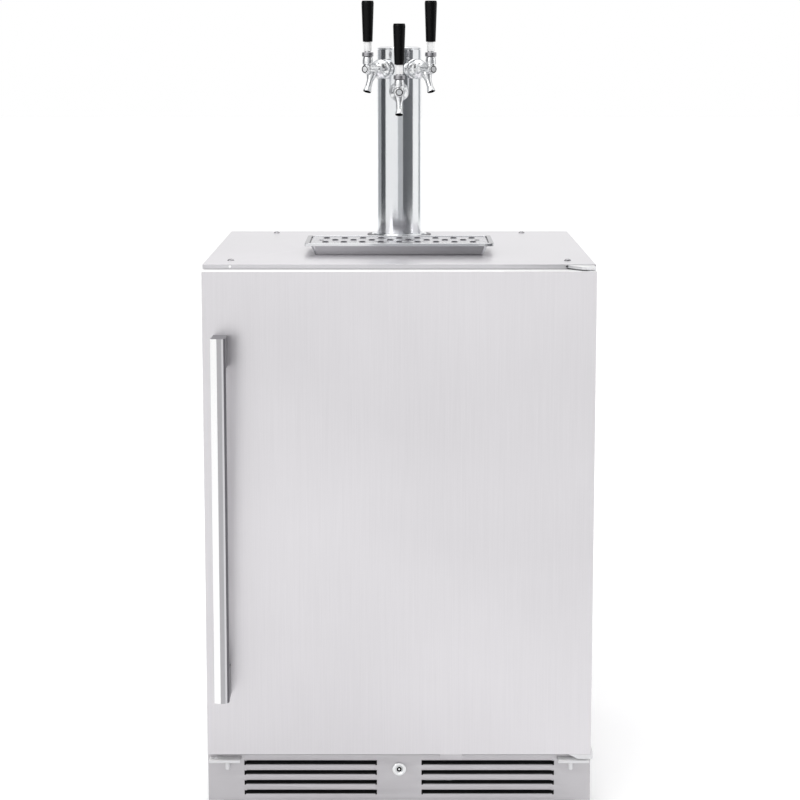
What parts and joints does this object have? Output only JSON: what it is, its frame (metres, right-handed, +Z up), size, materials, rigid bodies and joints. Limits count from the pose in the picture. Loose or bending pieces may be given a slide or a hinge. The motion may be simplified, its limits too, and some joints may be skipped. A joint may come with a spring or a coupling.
{
  "type": "kegerator",
  "caption": "Undercounter steel refrigerator for a beer keg, with a hinged door, a round draft tower carrying taps with black handles, and a drip tray on top.",
  "frame": {"origin": "on the floor, under the middle of the whole object's box", "axes": "+Z up, -Y to the front, where the door and the taps face, +X to the right of someone facing the door"},
  "size_m": [0.5968, 0.65, 1.267],
  "materials": {
    "brushed_steel": "satin",
    "polished_steel": "polished",
    "galvanised": "satin",
    "copper": "satin",
    "brass": "satin",
    "painted_black": "satin",
    "black_plastic": "satin",
    "grey_plastic": "satin",
    "white_plastic": "satin",
    "light_lens": "satin",
    "foam": "matte",
    "rubber": "matte",
    "grey_rubber": "matte",
    "painted_cylinder": "satin"
  },
  "bodies": {
    "cabinet": {"cabinet_shell": "brushed_steel", "top_panel": "brushed_steel", "kick_plate": "brushed_steel", "top_hinge_bracket": "brushed_steel", "bottom_hinge_bracket": "brushed_steel", "spare_hinge_bracket": "brushed_steel", "lock_housing": "polished_steel", "tower_base": "polished_steel", "tower_column": "polished_steel", "tower_cap": "polished_steel", "shank_left": "polished_steel", "faucet_body_left": "polished_steel", "shank_centre": "polished_steel", "faucet_body_centre": "polished_steel", "shank_right": "polished_steel", "faucet_body_right": "polished_steel", "rear_cover": "galvanised", "base_pan": "galvanised", "condenser": "copper", "evaporator_coil": "copper", "regulator": "brass", "compressor": "painted_black", "fan_shroud": "black_plastic", "control_panel": "black_plastic", "power_inlet": "black_plastic", "evaporator_cover": "white_plastic", "inner_liner": "white_plastic", "light_strip": "light_lens", "insulation_foam": "foam", "tower_gasket": "rubber", "floor_mat": "grey_rubber", "gas_cylinder": "painted_cylinder"},
    "foot_front_left": {"foot_front_left": "black_plastic"},
    "foot_front_right": {"foot_front_right": "black_plastic"},
    "foot_back_left": {"foot_back_left": "black_plastic"},
    "foot_back_right": {"foot_back_right": "black_plastic"},
    "lock": {"lock_plug": "polished_steel", "lock_arm": "galvanised"},
    "door": {"door_skin": "brushed_steel", "door_foam": "foam", "door_liner": "white_plastic", "door_gasket": "grey_rubber", "door_hinge_plate": "brushed_steel", "door_catch": "brushed_steel", "door_handle": "brushed_steel"},
    "condenser_fan_body": {"condenser_fan": "grey_plastic"},
    "evaporator_fan_body": {"evaporator_fan": "black_plastic"},
    "gas_valve_knob_body": {"gas_valve_knob": "black_plastic"},
    "regulator_knob_body": {"regulator_knob": "black_plastic"},
    "tray": {"drip_tray": "polished_steel"},
    "grille": {"drip_grille": "polished_steel"},
    "shaft_left": {"faucet_shaft_left": "polished_steel"},
    "lever_left": {"tap_lever_left": "polished_steel", "tap_handle_left": "black_plastic"},
    "shaft_centre": {"faucet_shaft_centre": "polished_steel"},
    "lever_centre": {"tap_lever_centre": "polished_steel", "tap_handle_centre": "black_plastic"},
    "shaft_right": {"faucet_shaft_right": "polished_steel"},
    "lever_right": {"tap_lever_right": "polished_steel", "tap_handle_right": "black_plastic"}
  },
  "joints": [
    {"name": "foot_front_left_height", "type": "slide", "parent": "cabinet", "child": "foot_front_left", "axis": [0, 0, -1], "range_m": [0, 0.02]},
    {"name": "foot_front_right_height", "type": "slide", "parent": "cabinet", "child": "foot_front_right", "axis": [0, 0, -1], "range_m": [0, 0.02]},
    {"name": "foot_back_left_height", "type": "slide", "parent": "cabinet", "child": "foot_back_left", "axis": [0, 0, -1], "range_m": [0, 0.02]},
    {"name": "foot_back_right_height", "type": "slide", "parent": "cabinet", "child": "foot_back_right", "axis": [0, 0, -1], "range_m": [0, 0.02]},
    {"name": "door_swing", "type": "hinge", "parent": "cabinet", "child": "door", "pos_m": [0.286, -0.258, 0.4], "axis": [0, 0, 1], "range_deg": [0, 110]},
    {"name": "lock_turn", "type": "hinge", "parent": "cabinet", "child": "lock", "pos_m": [0, -0.252, 0.0772], "axis": [0, -1, 0], "range_deg": [0, 30]},
    {"name": "condenser_fan_spin", "type": "hinge", "parent": "cabinet", "child": "condenser_fan_body", "pos_m": [-0.13, 0.25445, 0.1599], "axis": [1, 0, 0], "continuous": true},
    {"name": "evaporator_fan_spin", "type": "hinge", "parent": "cabinet", "child": "evaporator_fan_body", "pos_m": [0.14, 0.2279, 0.68], "axis": [0, 1, 0], "continuous": true},
    {"name": "gas_valve_turn", "type": "hinge", "parent": "cabinet", "child": "gas_valve_knob_body", "pos_m": [-0.18, 0.2162, 0.7082], "axis": [0, 0, 1], "range_deg": [0, 720]},
    {"name": "regulator_turn", "type": "hinge", "parent": "cabinet", "child": "regulator_knob_body", "pos_m": [-0.18, 0.1616, 0.6833], "axis": [0, -1, 0], "range_deg": [0, 1080]},
    {"name": "tray_slide", "type": "slide", "parent": "cabinet", "child": "tray", "axis": [0, 1, 0], "range_m": [0, 0.15]},
    {"name": "grille_lift", "type": "slide", "parent": "tray", "child": "grille", "axis": [0, 0, 1], "range_m": [0, 0.06]},
    {"name": "tap_left", "type": "hinge", "parent": "cabinet", "child": "lever_left", "pos_m": [-0.05296, 0.16972, 1.17], "axis": [0.7986, -0.6018, 0], "range_deg": [0, 25]},
    {"name": "valve_left", "type": "slide", "parent": "cabinet", "child": "shaft_left", "axis": [0.6018, 0.7986, 0], "range_m": [0, 0.0075]},
    {"name": "tap_centre", "type": "hinge", "parent": "cabinet", "child": "lever_centre", "pos_m": [0, 0.152, 1.132], "axis": [1, 0, 0], "range_deg": [0, 25]},
    {"name": "valve_centre", "type": "slide", "parent": "cabinet", "child": "shaft_centre", "axis": [0, 1, 0], "range_m": [0, 0.0075]},
    {"name": "tap_right", "type": "hinge", "parent": "cabinet", "child": "lever_right", "pos_m": [0.05296, 0.16972, 1.17], "axis": [0.7986, 0.6018, 0], "range_deg": [0, 25]},
    {"name": "valve_right", "type": "slide", "parent": "cabinet", "child": "shaft_right", "axis": [-0.6018, 0.7986, 0], "range_m": [0, 0.0075]}
  ],
  "couplings": [
    {"joint": "valve_left", "follows": "tap_left", "m_per_rad": 0.017},
    {"joint": "valve_centre", "follows": "tap_centre", "m_per_rad": 0.017},
    {"joint": "valve_right", "follows": "tap_right", "m_per_rad": 0.017}
  ]
}
